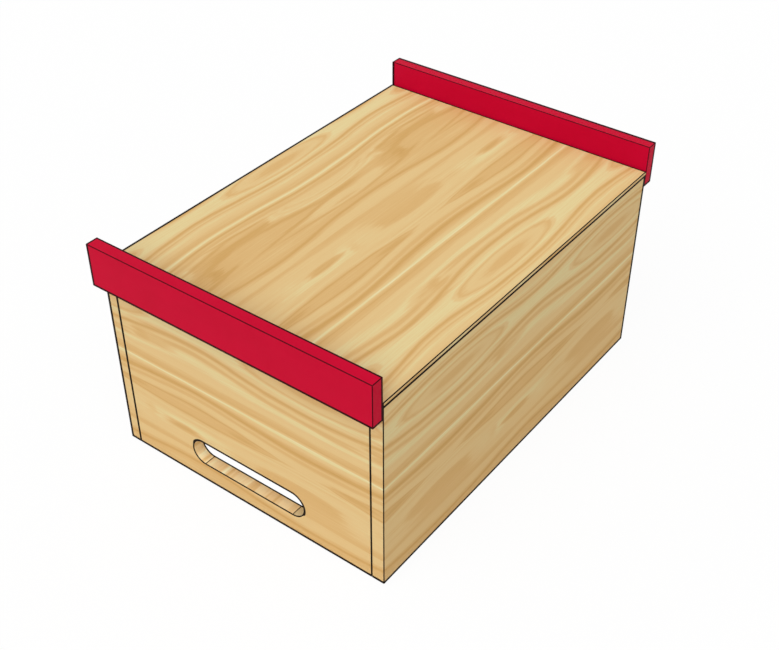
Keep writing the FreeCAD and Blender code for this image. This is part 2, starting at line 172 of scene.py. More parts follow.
class Nodes:
    """Adds nodes to the tree of a material, of the world or of a node group."""

    def __init__(self, tree):
        self.tree = tree

    def add(self, kind, sockets=None, stops=(), out=0, **settings):
        """A node: its settings and its ramp's stops first, then what goes into its sockets.

        Each thing in a list goes into the same socket. Gives the output that out names or numbers.
        """
        node = self.tree.nodes.new(kind)
        for name, value in settings.items():
            setattr(node, name, value)
        for number, (place, colour) in enumerate(stops):
            ramp = node.color_ramp
            ramp.interpolation = "EASE"
            stop = ramp.elements[number] if number < 2 else ramp.elements.new(place)
            stop.position = place
            stop.color = colour if isinstance(colour, tuple) else (colour, colour, colour, 1)
        for name, given in (sockets or {}).items():
            for value in given if isinstance(given, list) else [given]:
                if isinstance(value, Value):
                    self.tree.links.new(value.socket, node.inputs[name])
                else:
                    node.inputs[name].default_value = value
        return Value(self, node.outputs[out] if len(node.outputs) else None)

    def maths(self, operation, *values):
        return self.add("ShaderNodeMath", dict(enumerate(values)), operation=operation)

    def vectors(self, operation, *values, out=0):
        sockets = dict(enumerate(values))
        return self.add("ShaderNodeVectorMath", sockets, out=out, operation=operation)

    def least(self, *values):
        return self.maths("MINIMUM", *values)

    def most(self, *values):
        return self.maths("MAXIMUM", *values)

    def join(self, x, y, z=0):
        return self.add("ShaderNodeCombineXYZ", {0: x, 1: y, 2: z})

    def split(self, vector):
        first = self.add("ShaderNodeSeparateXYZ", {0: vector})
        return [Value(self, output) for output in first.socket.node.outputs]

    def fade(self, value, start, end):
        """0 where a value is at start, 1 where it is at end, and eased between them."""
        sockets = {"Value": value, "From Min": start, "From Max": end}
        return self.add("ShaderNodeMapRange", sockets, interpolation_type="SMOOTHSTEP")

    def under(self, value, limit, soft):
        """1 where a value is under a limit and 0 where it is over, eased over soft either side."""
        return self.fade(value, limit + soft, limit - soft)

    def mix(self, first, second, share):
        """A number on its way from the first to the second."""
        return first + (second - first) * share

    def blend(self, first, second, share):
        """A colour on its way from the first to the second.

        The node has more than one socket of each name, so those of its colours go by number.
        """
        return self.add("ShaderNodeMix", {0: share, 6: first, 7: second}, out=2, data_type="RGBA")

    def ramp(self, value, stops):
        return self.add("ShaderNodeValToRGB", {0: value}, stops=stops)

    def noise(self, vector):
        """Cloudy noise, from about -1 to 1, whose clouds are about one step of the vector long."""
        sockets = {"Vector": vector, "Scale": 1.0, "Detail": 2.0, "Roughness": 0.5}
        return (self.add("ShaderNodeTexNoise", sockets) - 0.5) * 3

    def grain(self, along, across, cloud):
        """Noise drawn out along the grain, in clouds of a length along it and a width across it."""
        return self.noise(self.join(along / cloud[0], across / cloud[1]))


# The figure of the wood. Tones run from 0, the palest wood, to 1, the darkest line.

SHEET = 381
HALF_SHEET = SHEET / 2
MEAN_TONE = 0.48
CONTRAST = 1.15

# How far the lines bow sideways, by their place across the sheet, and where along it they bow most.
BOWS = [
    (0, -6), (6, -6), (12, -7.3), (26, 1), (40, 8.3), (50, 9), (57, 8), (70, 9.2), (79, 4), (86, 1),
    (111, 0.5), (114, 3), (120, 4.8), (131, 5.6), (142, 5.4), (157, 0), (169, -5), (190, -2),
    (228, 0), (242, 5), (247, 6), (258, 6), (267, 3), (276, -3), (300, -6), (329, -7), (344, -5.2),
    (359, -4.2), (371, -4), (377, -5.6), (381, -6),
]
MOST_BOW = 10
BOW_PLACE = 203
BOW_FULLNESS = 0.2

# Noise in the figure, in clouds of a length and a width. It sways the lines, draws the ends of the
# rings out into flames, and adds fine streaks and finer fibres.
SWAY = (70, 25)
FLAMES, FLAME_REACH = (45, 4.5), 12
STREAKS, STREAK_STRENGTH = (120, 2.2), 0.09
FIBRES, FIBRE_STRENGTH = (25, 0.9), 0.05

# Tones across the straightened sheet, in two halves.
NEAR_TONES = [
    (0, 0.42), (4.8, 0.74), (9.2, 0.38), (14, 0.3), (35, 0.29), (43, 0.38), (49, 0.74), (55.5, 0.4),
    (61, 0.62), (69, 0.31), (76, 0.3), (84, 0.44), (89, 0.41), (96.5, 0.56), (103, 0.67),
    (106.8, 0.5), (109.8, 0.15), (113, 0.42), (125, 0.8), (130, 0.5), (134.5, 0.62), (140.5, 0.43),
    (155, 0.43), (157.5, 0.48), (161, 0.42), (165, 0.5), (168, 0.38), (174, 0.47), (181, 0.39),
    (190.5, 0.4),
]
FAR_TONES = [
    (190.5, 0.4), (218, 0.42), (227.5, 0.59), (235, 0.42), (243, 0.44), (248, 0.56), (252, 0.78),
    (257, 0.58), (264, 0.54), (296, 0.57), (318, 0.58), (330, 0.44), (335.5, 0.6), (338.8, 0.52),
    (342.6, 0.76), (345.4, 0.5), (348.9, 0.17), (354.7, 0.62), (361, 0.52), (367, 0.42),
    (373.7, 0.33), (376, 0.42), (378.8, 0.58), (381, 0.42),
]

# The lens, a dark patch with pointed ends, the eye, an oval of rings, and the loop, the upper half
# of a wide oval that one of the lines cuts off. A rim is where one of them ends, and how softly.
LENS_MIDDLE, LENS_LENGTH, LENS_HEIGHT = (22.5, 155), 165, 10.3
LENS_LEAST_HEIGHT = 1.2
LENS_POWER = 1.7
LENS_LEAN = 2.5
LENS_TONES = [(0, 0.57), (0.3, 0.58), (0.44, 0.62), (0.6, 0.74), (0.78, 0.52), (1, 0.44)]
LENS_TONES_REACH = 1.6
LENS_RIM, LENS_END_RIM = (1.525, 0.175), (0.975, 0.125)
EYE_MIDDLE, EYE_REACH = (195, 25.3), (109, 17)
EYE_RINGS = [
    (0, 0.62), (0.24, 0.6), (0.34, 0.52), (0.44, 0.47), (0.5, 0.42), (0.6, 0.4), (0.68, 0.5),
    (0.75, 0.58), (0.82, 0.42), (0.9, 0.28), (1, 0.27),
]
EYE_RINGS_REACH = 1.25
EYE_RIM = (1.12, 0.08)
EYE_FLAMES = 0.35
LOOP_MIDDLE, LOOP_REACH = (195, 327), (124, 26)
LOOP_RINGS = [
    (0, 0.4), (0.3, 0.42), (0.45, 0.41), (0.53, 0.36), (0.63, 0.5), (0.73, 0.37), (0.81, 0.45),
    (0.9, 0.34), (1, 0.5),
]
LOOP_RIM = (1, 0.06)
LOOP_CUT = (328.5, 2.5)
LOOP_LOWEST = 8
LOOP_FLAMES = 0.8

# Patches between the lines: middle along and across, half length, half width, tone, soft rim.
PATCHES = [
    (30, 42, 60, 2.4, 0.7, 0.8),
    (80, 62, 36, 10, 0.54, 0.5),
    (98, 64, 14, 7, 0.66, 0.7),
    (140, 64, 34, 2.4, 0.4, 0.8),
    (150, 73, 48, 2.4, 0.58, 0.8),
    (220, 196.5, 76, 13.5, 0.635, 0.27),
    (205, 214, 72, 14, 0.56, 0.5),
    (26, 189, 66, 7, 0.3, 0.6),
    (84, 195, 14, 10, 0.33, 0.7),
    (40, 196, 31, 5.8, 0.68, 0.45),
    (101, 192, 9, 8, 0.52, 0.8),
    (126, 197, 22, 12, 0.38, 0.8),
    (356, 197, 22, 8, 0.36, 0.6),
    (316, 195, 20, 5, 0.5, 0.8),
    (300, 208, 34, 3, 0.5, 0.8),
    (15, 221, 40, 3, 0.44, 0.8),
    (120, 230, 60, 3, 0.6, 0.8),
    (130, 155, 34, 4, 0.72, 0.8),
    (316, 156.5, 26, 4, 0.7, 0.8),
    (40, 262, 30, 4, 0.5, 0.8),
    (192, 281, 86, 9, 0.41, 0.3),
    (182, 276, 28, 2.4, 0.56, 0.7),
    (246, 287, 34, 4, 0.4, 0.8),
    (196, 296, 44, 4.4, 0.74, 0.8),
    (306, 297, 24, 6, 0.66, 0.8),
    (316, 289, 30, 13, 0.68, 0.8),
    (327, 291, 9, 11, 0.82, 0.9),
    (330, 312, 26, 9, 0.66, 0.7),
    (20, 317, 58, 7, 0.76, 0.6),
    (22, 326, 32, 3.4, 0.54, 0.5),
    (86, 319, 10, 5, 0.36, 0.8),
    (304, 315, 8, 5, 0.38, 0.8),
]

# Strokes, long thin patches that lean: the same without the rim, and how far across they get for
# each step along.
STROKES = [
    (118, 271.4, 86, 1.8, 0.72, -0.045),
    (250, 271.5, 62, 1.8, 0.72, 0.07),
    (326, 279.5, 36, 2.8, 0.78, 0.15),
    (104, 286.6, 100, 2.6, 0.74, 0.1),
    (98, 304.5, 92, 3.4, 0.74, -0.13),
    (355, 311, 44, 3.6, 0.78, 0.2),
    (345, 326.5, 48, 2.6, 0.74, 0.12),
    (33, 331.8, 50, 2, 0.74, -0.06),
]
STROKE_RIM = 0.8


def wood_figure():
    """The shared group that gives the wood's tone at a place along and across the sheet."""
    group = bpy.data.node_groups.new("wood_figure", "ShaderNodeTree")
    for name in ("Along", "Across"):
        group.interface.new_socket(name, in_out="INPUT", socket_type="NodeSocketFloat")
    group.interface.new_socket("Tone", in_out="OUTPUT", socket_type="NodeSocketFloat")
    n = Nodes(group)
    along = n.add("NodeGroupInput")
    across = Value(n, along.socket.node.outputs[1])

    across = across + n.grain(along, across, SWAY)
    bow = n.ramp((across % SHEET) / SHEET, [(p / SHEET, 0.5 + b / MOST_BOW / 2) for p, b in BOWS])
    wave = n.maths("COSINE", (along - BOW_PLACE) * (2 * math.pi / SHEET))
    wave = wave + (1 - wave * wave) * BOW_FULLNESS
    line = (across - (bow - 0.5) * (2 * MOST_BOW) * wave) % SHEET
    near = n.ramp(line / HALF_SHEET, [(p / HALF_SHEET, t) for p, t in NEAR_TONES])
    far = n.ramp(line / HALF_SHEET - 1, [(p / HALF_SHEET - 1, t) for p, t in FAR_TONES])
    tone = n.mix(near, far, line > HALF_SHEET)

    def from_middle(place, middle):
        """How far a place is from a middle, the short way round the sheet."""
        off = n.vectors("SUBTRACT", place, (*middle, 0))
        return n.vectors("WRAP", off, (HALF_SHEET,) * 3, (-HALF_SHEET,) * 3)

    def oval(off, reach):
        """0 in the middle of an oval and 1 on its rim."""
        off = n.vectors("MULTIPLY", off, (1 / reach[0], 1 / reach[1], 0))
        return n.vectors("LENGTH", off, out="Value")

    flames = n.grain(along, across, FLAMES) * FLAME_REACH

    def ragged(share):
        """A place moved along the grain by the flames, which makes the ends of rings ragged."""
        return n.join(along + flames * share, across)

    x, y, _ = n.split(from_middle(n.join(along, across), LENS_MIDDLE))
    out = abs(x) / LENS_LENGTH
    height = n.most((1 - out**LENS_POWER) * LENS_HEIGHT, LENS_LEAST_HEIGHT)
    rise = abs(y - out * LENS_LEAN) / height
    lens = n.ramp(rise / LENS_TONES_REACH, LENS_TONES)
    tone = n.mix(tone, lens, n.under(rise, *LENS_RIM) * n.under(out, *LENS_END_RIM))

    ring = oval(from_middle(ragged(EYE_FLAMES), EYE_MIDDLE), EYE_REACH)
    tone = n.mix(tone, n.ramp(ring / EYE_RINGS_REACH, EYE_RINGS), n.under(ring, *EYE_RIM))

    off = from_middle(ragged(LOOP_FLAMES), LOOP_MIDDLE)
    ring = oval(off, LOOP_REACH)
    inside = n.under(ring, *LOOP_RIM) * n.under(line, *LOOP_CUT) * (n.split(off)[1] < LOOP_LOWEST)
    tone = n.mix(tone, n.ramp(ring, LOOP_RINGS), inside)

    place = ragged(1)
    for *middle, length, width, patch_tone, rim in PATCHES:
        edge = oval(from_middle(place, middle), (length, width))
        tone = n.mix(tone, patch_tone, n.under(edge, 1, rim))
    for *middle, length, width, stroke_tone, lean in STROKES:
        x, y, _ = n.split(from_middle(place, middle))
        edge = oval(n.join(x, y - x * lean), (length, width))
        tone = n.mix(tone, stroke_tone, n.under(edge, 1, STROKE_RIM))

    tone = (tone - MEAN_TONE) * CONTRAST + MEAN_TONE
    tone = tone + n.grain(along, across, STREAKS) * STREAK_STRENGTH
    tone = tone + n.grain(along, across, FIBRES) * FIBRE_STRENGTH
    n.add("NodeGroupOutput", {0: tone})
    return group


WOOD_FIGURE = wood_figure()

# The wood's colours by tone, the painted light that multiplies them on the wall inside the slots,
# more of it on the wall's left round end and painted shade on its right one, the paint's colours,
# and those of the dark lines.
WOOD_COLOURS = [
    (0, linear(238, 224, 180)),
    (0.2, linear(228, 210, 154)),
    (0.42, linear(226, 193, 135)),
    (0.62, linear(219, 179, 118)),
    (0.8, linear(210, 167, 102)),
    (1, linear(197, 151, 85)),
]
EDGE_BROWN = linear(24, 14, 6)
# Painted light on the wall inside the hand slots, more on its left round end, painted shade on its
# right.
PAINTED_SLOT_LIGHT = (1.22, 1.32, 1.6)
PAINTED_LEFT_END_LIGHT, PAINTED_RIGHT_END_SHADE = (1.1, 1.16, 1.2), (0.8, 0.86, 0.9)
RED = linear(200, 4, 48)
CLOUDY_RED = linear(195, 3, 45)
EDGE_CRIMSON = linear(48, 4, 12)

# Where the figure starts on each face that the photograph shows, along and across, and how much
# further on it starts for each board and each of its other faces.
SIDE_START = (31.2, 273.95)
FRONT_START = (312.5, 274.6)
TOP_START = (184.8, 204.25)
BOARD_STEP, FACE_STEP = (97, 61), (41, 29)

# The lines along edges: how far past the bevels they reach on wood and on paint, and how softly
# they end. A bold line is three times narrower over the first of its two faces.
WOOD_LINE, PAINT_LINE, LINE_SOFTNESS = 0.325, 0.125, 0.175
BOLD_NARROWING, BOLD_SOFTNESS = 3, 0.3

# The lines of a hand slot, as a reach and a softness: round its outer mouth, where it is bolder
# above and at the right, round its inner mouth, and across its wall where the round ends start.
# Those of the mouths narrow with depth.
MOUTH_LINE, MOUTH_NARROWING = (SLOT_BEVEL + 1.2, 0.25), 1.5
MOUTH_BOLDER, BOLDER_FROM, BOLDER_TO = 2.2, SLOT_SETBACK + 5, SLOT_SETBACK + 15
INNER_LINE, INNER_NARROWING = (1.075, 0.125), 0.45
CROSS_LINE = (0.675, 0.225)
WALL_LEEWAY, WALL_SOFTNESS = 0.1, 0.2

# The feel of the surfaces: the fibres, brush marks and clouds of noise in them, how rough they
# are, and how deep.
WOOD_FIBRES = (20, 0.45)
WOOD_ROUGHNESS, LINES_ROUGHER, FIBRES_ROUGHER = 0.52, 0.1, 0.03
FIBRES_RISE, LINES_SINK = 0.5, 0.6
BRUSH_MARKS, PAINT_CLOUDS, PAINT_CLOUDINESS = (60, 1.5), (45, 30, 30), (-0.8, 1.2)
PAINT_ROUGHNESS, BRUSH_ROUGHER = 0.46, 0.04
METAL_CLOUDS_PER_MM, METAL_CLOUDINESS = (0.35, 0.35, 0.35), (-0.6, 0.9)
METAL_MARKS_PER_MM, MARKS_ROUGHER = (0.6, 0.6, 5), 0.05
GRAIN_DEPTH, METAL_DEPTH = 0.1 * MM, 0.05 * MM


def new_material(name):
    material = bpy.data.materials.new(name)
    material.use_nodes = True
    material.node_tree.nodes.clear()
    return material, Nodes(material.node_tree)


def surface_place(n):
    """Where a point of the surface is, in millimetres."""
    return n.vectors("MULTIPLY", n.add("ShaderNodeTexCoord", out="Object"), (1 / MM,) * 3)


def board_edges(n, place, node, thin, bold):
    """1 along the edges of a board and 0 elsewhere.

    The lines reach thin millimetres past the bevels. Where bold names two faces, the line of their
    edge reaches further over the second of them.
    """
    low, high = (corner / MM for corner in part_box(node))
    from_low = n.split(n.vectors("SUBTRACT", place, tuple(low)))
    from_high = n.split(n.vectors("SUBTRACT", tuple(high), place))
    from_face = dict(zip(("-X", "-Y", "-Z", "+X", "+Y", "+Z"), from_low + from_high))
    x, y, z = (n.least(*pair) for pair in zip(from_low, from_high))
    two_least = x + y + z - n.most(n.most(x, y), z)
    line = n.under(two_least, BEVEL + thin, LINE_SOFTNESS)
    for faces, reach in bold.items():
        both = from_face[faces[:2]] + from_face[faces[2:]] * BOLD_NARROWING
        line = n.most(line, n.under(both, BEVEL + reach, BOLD_SOFTNESS))
    return line


def slot_marks(n, place, node):
    """Masks for a hand slot: its lines, its wall, and the wall's left and right round ends.

    Left and right are those of someone who faces the slot from outside the box.
    """
    low, high = (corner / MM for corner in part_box(node))
    x, y, z = n.split(place)
    leftward = x * math.copysign(1, low.y)
    past_run = abs(x) - (SLOT_LENGTH - SLOT_HEIGHT) / 2
    sides = n.join(n.most(past_run, 0), z - SLOT_SETBACK)
    out = n.most(n.vectors("LENGTH", sides, out="Value") - SLOT_HEIGHT / 2, 0)
    from_outside = max(abs(low.y), abs(high.y)) - abs(y)
    from_inside = high.y - low.y - from_outside

    into_right_end = n.most(past_run, 0) * (leftward < 0)
    bolder = n.fade(z + into_right_end, BOLDER_FROM, BOLDER_TO) * MOUTH_BOLDER
    mouth = n.under(out + from_outside * MOUTH_NARROWING - bolder, *MOUTH_LINE)
    inner_mouth = n.under(out + from_inside * INNER_NARROWING, *INNER_LINE)
    from_mouth = n.least(from_outside, from_inside)
    wall = (out < WALL_LEEWAY) * n.fade(from_mouth, SLOT_BEVEL, SLOT_BEVEL + WALL_SOFTNESS)
    across = n.under(abs(past_run), *CROSS_LINE) * wall
    round_ends = wall * (past_run > 0)
    left_end = round_ends * (leftward > 0)
    return n.most(n.most(mouth, inner_mouth), across), wall, left_end, round_ends - left_end


def wood(name, node, order, bold, seen, slotted):
    """The clear-finished wood of one board. Faces that seen names start their figure there."""
    material, n = new_material(name)
    place = surface_place(n)
    x, y, z = n.split(place)
    facing = n.split(n.add("ShaderNodeTexCoord", out="Normal"))
    turned = [abs(f) for f in facing]
    on_side = turned[0] > n.most(turned[1], turned[2])
    on_top = turned[2] > n.most(turned[0], turned[1])

    starts = {}
    for number, face in enumerate(("+X", "-X", "+Y", "-Y", "+Z", "-Z")):
        unseen = tuple(b * order + f * number for b, f in zip(BOARD_STEP, FACE_STEP))
        starts[face] = seen.get(face, unseen)

    def start(axis, way):
        """Where the figure starts, along or across, on the faces of one axis."""
        plus, minus = starts["+" + "XYZ"[axis]][way], starts["-" + "XYZ"[axis]][way]
        return (facing[axis] > 0) * (plus - minus) + minus

    along = n.mix(n.mix(start(1, 0) - x, start(0, 0) - y, on_side), start(2, 0) + y, on_top)
    across = n.mix(n.mix(start(1, 1) - z, start(0, 1) - z, on_side), start(2, 1) - x, on_top)
    tone = n.add("ShaderNodeGroup", {"Along": along, "Across": across}, node_tree=WOOD_FIGURE)

    colour = n.ramp(tone, WOOD_COLOURS)
    edges = board_edges(n, place, node, WOOD_LINE, bold)
    if slotted:
        lines, wall, left_end, right_end = slot_marks(n, place, node)
        edges = n.most(edges, lines)
        # Painted light and shade: the slot's wall is lightened against the shade inside it, its
        # left round end more, and its right round end darkened.
        for part, painted_light in ((wall, PAINTED_SLOT_LIGHT), (left_end, PAINTED_LEFT_END_LIGHT), (right_end, PAINTED_RIGHT_END_SHADE)):
            colour = n.blend(colour, n.vectors("MULTIPLY", colour, painted_light), part)
    colour = n.blend(colour, EDGE_BROWN, edges)
    fibres = n.grain(along, across, WOOD_FIBRES)
    height = fibres * FIBRES_RISE - tone * LINES_SINK
    bump = {"Strength": 0.25, "Distance": GRAIN_DEPTH, "Height": height}
    shine = {
        "Base Color": colour,
        "Roughness": WOOD_ROUGHNESS + tone * LINES_ROUGHER + fibres * FIBRES_ROUGHER,
        "Specular IOR Level": 0.12,
        "Normal": n.add("ShaderNodeBump", bump),
    }
    n.add("ShaderNodeOutputMaterial", {0: n.add("ShaderNodeBsdfPrincipled", shine)})
    return material


def red_paint(name, node, bold):
    """Satin paint over a straight-grained strip, dark on its eased edges."""
    material, n = new_material(name)
    place = surface_place(n)
    x, y, z = n.split(place)
    brushed = n.grain(x, y + z, BRUSH_MARKS)
    cloudy = n.noise(n.vectors("DIVIDE", place, PAINT_CLOUDS))
    colour = n.blend(RED, CLOUDY_RED, n.fade(cloudy, *PAINT_CLOUDINESS))
    colour = n.blend(colour, EDGE_CRIMSON, board_edges(n, place, node, PAINT_LINE, bold))
    bump = {"Strength": 0.2, "Distance": GRAIN_DEPTH, "Height": brushed}
    shine = {
        "Base Color": colour,
        "Roughness": PAINT_ROUGHNESS + brushed * BRUSH_ROUGHER,
        "Specular IOR Level": 0.05,
        "Normal": n.add("ShaderNodeBump", bump),
    }
    n.add("ShaderNodeOutputMaterial", {0: n.add("ShaderNodeBsdfPrincipled", shine)})
    return material


def steel(name, colour, dull_colour, roughness):
    """Plain metal: a little cloudy, with fine drawing marks."""
    material, n = new_material(name)
    place = surface_place(n)
    cloudy = n.noise(n.vectors("MULTIPLY", place, METAL_CLOUDS_PER_MM))
    marks = n.noise(n.vectors("MULTIPLY", place, METAL_MARKS_PER_MM))
    bump = {"Strength": 0.1, "Distance": METAL_DEPTH, "Height": marks}
    shine = {
        "Base Color": n.blend(colour, dull_colour, n.fade(cloudy, *METAL_CLOUDINESS)),
        "Metallic": 1.0,
        "Roughness": roughness + marks * MARKS_ROUGHER,
        "Normal": n.add("ShaderNodeBump", bump),
    }
    n.add("ShaderNodeOutputMaterial", {0: n.add("ShaderNodeBsdfPrincipled", shine)})
    return material


def dress(node, material):
    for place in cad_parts[node].material_slots:
        place.material = material


def finish_of(node):
    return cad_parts[node].material_slots[0].material


# How far the bold lines of each board reach, in millimetres, by the two faces that meet there. A
# line lies mostly on the second.
BOLD_EDGES = {
    "left_side": {"-X-Y": 4.1, "-Z-Y": 4.1, "-Z-X": 4.1, "+Y-X": 4.1, "+X-Y": 1.1},
    "right_side": {"-Z-Y": 4.1, "-Z+X": 4.3, "+Y+X": 5.2, "+Z+X": 1.1, "-X-Y": 0.6},
    "front_end": {"-Z-Y": 4.1, "-X-Y": 1.1, "+X-Y": 0.6},
    "rear_end": {"-Z+Y": 4.1},
    "base_panel": {"-X+Z": 3.5, "+Y+Z": 2.4, "-Z+X": 1.1},
    "front_cleat": {
        "-Z-Y": 3.2, "-X-Y": 3.6, "+Y+Z": 2.4, "-X+Z": 2.6, "+Y+X": 3.0, "-Z+X": 3.2,
    },
    "rear_cleat": {
        "-Z+Y": 3.2, "-X-Y": 3.9, "+Y+Z": 4.4, "-X+Z": 2.6, "+Y+X": 4.2, "-Z+X": 3.6,
    },
}
SEEN_STARTS = {
    "left_side": {"-Y": FRONT_START},
    "right_side": {"+X": SIDE_START, "-Y": FRONT_START},
    "front_end": {"-Y": FRONT_START},
    "base_panel": {"+Z": TOP_START},
}

for order, (node, bold) in enumerate(BOLD_EDGES.items(), start=1):
    name = node.replace("_", " ")
    if node.endswith("_cleat"):
        dress(node, red_paint(name + " paint", node, bold))
    else:
        seen = SEEN_STARTS.get(node, {})
        dress(node, wood(name + " wood", node, order, bold, seen, slotted=node.endswith("_end")))
ZINC = steel("zinc plate", (0.62, 0.61, 0.56, 1), (0.48, 0.47, 0.44, 1), 0.3)
DRAWN_STEEL = steel("drawn steel", (0.5, 0.5, 0.51, 1), (0.38, 0.38, 0.4, 1), 0.36)
for nails in ("left_side_nails", "right_side_nails", "front_end_nails", "rear_end_nails"):
    dress(nails, DRAWN_STEEL)


# Screws, and the filler over screws and brads.


def new_maker(name, sizes):
    """A Geometry Nodes tree on a mesh of points, each with its way, and its named sizes."""
    tree = bpy.data.node_groups.new(name, "GeometryNodeTree")
    tree.interface.new_socket("Geometry", in_out="INPUT", socket_type="NodeSocketGeometry")
    tree.interface.new_socket("Geometry", in_out="OUTPUT", socket_type="NodeSocketGeometry")
    for size in sizes:
        tree.interface.new_socket(size, in_out="INPUT", socket_type="NodeSocketFloat")
    tree.interface.new_socket("Finish", in_out="INPUT", socket_type="NodeSocketMaterial")
    n = Nodes(tree)
    given = n.add("NodeGroupInput").socket.node.outputs
    return tree, n, {output.name: Value(n, output) for output in given if output.name}


def put_on_points(n, given, shape):
    """Sets the shape on every point, turned along its way, as plain mesh in its finish."""
    way = n.add("GeometryNodeInputNamedAttribute", {"Name": "way"}, data_type="FLOAT_VECTOR")
    turn = n.add("FunctionNodeAlignRotationToVector", {"Vector": way}, axis="Z")
    points = n.add("GeometryNodeMeshToPoints", {"Mesh": given["Geometry"]})
    sockets = {"Points": points, "Instance": shape, "Rotation": turn}
    placed = n.add("GeometryNodeInstanceOnPoints", sockets)
    real = n.add("GeometryNodeRealizeInstances", {"Geometry": placed})
    finished = n.add("GeometryNodeSetMaterial", {"Geometry": real, "Material": given["Finish"]})
    n.add("NodeGroupOutput", {0: finished})


def frustum(n, low_width, high_width, height, sides=HEAD_SIDES):
    sockets = {
        "Vertices": sides,
        "Radius Bottom": low_width / 2,
        "Radius Top": high_width / 2,
        "Depth": height,
    }
    return n.add("GeometryNodeMeshCone", sockets)


def moved(n, shape, move):
    return n.add("GeometryNodeTransform", {"Geometry": shape, "Translation": move})


def screw_maker():
    """Screws that point down their way, with a seat under the head, a thread and a square drive."""
    tree, n, given = new_maker("threaded_screws", [*POCKET_SCREW, *THREAD])
    base_height, length, pitch = given["Base Height"], given["Length"], given["Pitch"]
    base = frustum(n, given["Base Low Width"], given["Base High Width"], base_height)
    sunk = base_height * CROWN_SINK
    crown_height = given["Crown Height"] + sunk
    crown = frustum(n, given["Crown Low Width"], given["Crown High Width"], crown_height)
    crown = moved(n, crown, n.join(0, 0, base_height - sunk))
    head = n.add("GeometryNodeMeshBoolean", {1: [base, crown]}, operation="UNION", solver="EXACT")
    depth, width = given["Drive Depth"], given["Drive Width"]
    drive = n.add("GeometryNodeMeshCube", {"Size": n.join(width, width, depth * 2)})
    drive = moved(n, drive, n.join(0, 0, base_height + given["Crown Height"]))
    sockets = {0: head, 1: drive}
    head = n.add("GeometryNodeMeshBoolean", sockets, operation="DIFFERENCE", solver="EXACT")

    core = given["Shank Width"] / 2 - given["Thread Depth"]
    sockets = {
        "Vertices": SHANK_SIDES,
        "Side Segments": SHANK_STEPS,
        "Radius": core,
        "Depth": length,
    }
    shank = moved(n, n.add("GeometryNodeMeshCylinder", sockets), n.join(0, 0, length * -0.5))
    run = length * THREADED_SHARE
    sockets = {
        "Resolution": STEPS_PER_TURN,
        "Rotations": run / pitch,
        "Start Radius": core,
        "End Radius": core,
        "Height": run,
    }
    spiral = moved(n, n.add("GeometryNodeCurveSpiral", sockets), n.join(0, 0, TIP_GAP - length))
    spiral = n.add("GeometryNodeSetCurveNormal", {"Curve": spiral}, mode="Z_UP")
    sockets = {"Resolution": THREAD_SIDES, "Radius": given["Thread Depth"]}
    ridge = n.add("GeometryNodeCurvePrimitiveCircle", sockets)
    sockets = {"Curve": spiral, "Profile Curve": ridge, "Fill Caps": True}
    thread = n.add("GeometryNodeCurveToMesh", sockets)
    bolt = n.add("GeometryNodeJoinGeometry", {0: [shank, thread]})

    x, y, z = n.split(n.add("GeometryNodeInputPosition"))
    share = n.most(n.least((z + length) / given["Point"], 1), TIP_SHARE)
    tapered = n.join(x * share, y * share, n.most(z, length * -1))
    bolt = n.add("GeometryNodeSetPosition", {"Geometry": bolt, "Position": tapered})
    put_on_points(n, given, n.add("GeometryNodeJoinGeometry", {0: [head, bolt]}))
    return tree


def plug_maker(name, square):
    """Filler plugs, narrow end first, whose flat tops lie on the points."""
    tree, n, given = new_maker(name, ["Length", "Width", "Bottom Share", "Depth"])
    sides, turn, corners = (4, math.pi / 4, math.sqrt(2)) if square else (HEAD_SIDES, 0, 1)
    shape = frustum(n, given["Bottom Share"] * corners, corners, given["Depth"], sides)
    shape = n.add("GeometryNodeTransform", {"Geometry": shape, "Rotation": (0, 0, turn)})
    scale = n.join(given["Length"], given["Width"], 1)
    shape = n.add("GeometryNodeTransform", {"Geometry": shape, "Scale": scale})
    put_on_points(n, given, moved(n, shape, n.join(0, 0, given["Depth"] * -1)))
    return tree


def made_on_points(name, tree, sizes, finish, points, way):
    """A plain mesh object, made by a tree on the points given, which all face one way."""
    mesh = bpy.data.meshes.new(name + " points")
    mesh.from_pydata(points, [], [])
    stored = mesh.attributes.new("way", "FLOAT_VECTOR", "POINT")
    for place in stored.data:
        place.vector = way
    maker = bpy.data.objects.new(name + " maker", mesh)
    bpy.context.scene.collection.objects.link(maker)
    modifier = maker.modifiers.new("maker", "NODES")
    modifier.node_group = tree
    for item in tree.interface.items_tree:
        if item.in_out == "INPUT" and item.name in sizes:
            modifier[item.identifier] = sizes[item.name]
        elif item.name == "Finish":
            modifier[item.identifier] = finish
    evaluated = maker.evaluated_get(bpy.context.evaluated_depsgraph_get())
    made = bpy.data.meshes.new_from_object(evaluated)
    maker.modifiers.remove(modifier)
    bpy.data.objects.remove(maker)
    made.name = name
    made.shade_smooth()
    made.set_sharp_from_angle(angle=SHARP_ANGLE)
    piece = bpy.data.objects.new(name, made)
    bpy.context.scene.collection.objects.link(piece)
    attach(piece, "root")
    return piece


def spread(low, high, setback, count):
    """Places from low to high, a setback in from both and evenly apart."""
    step = (high - low - 2 * setback) / (count - 1)
    return [low + setback + step * number for number in range(count)]


SCREWS = screw_maker()
ROUND_PLUGS = plug_maker("round_plugs", square=False)
SQUARE_PLUGS = plug_maker("rectangular_plugs", square=True)

# The two ends of the box, and which way along Y is outward there.
ENDS = (("front", -1), ("rear", 1))

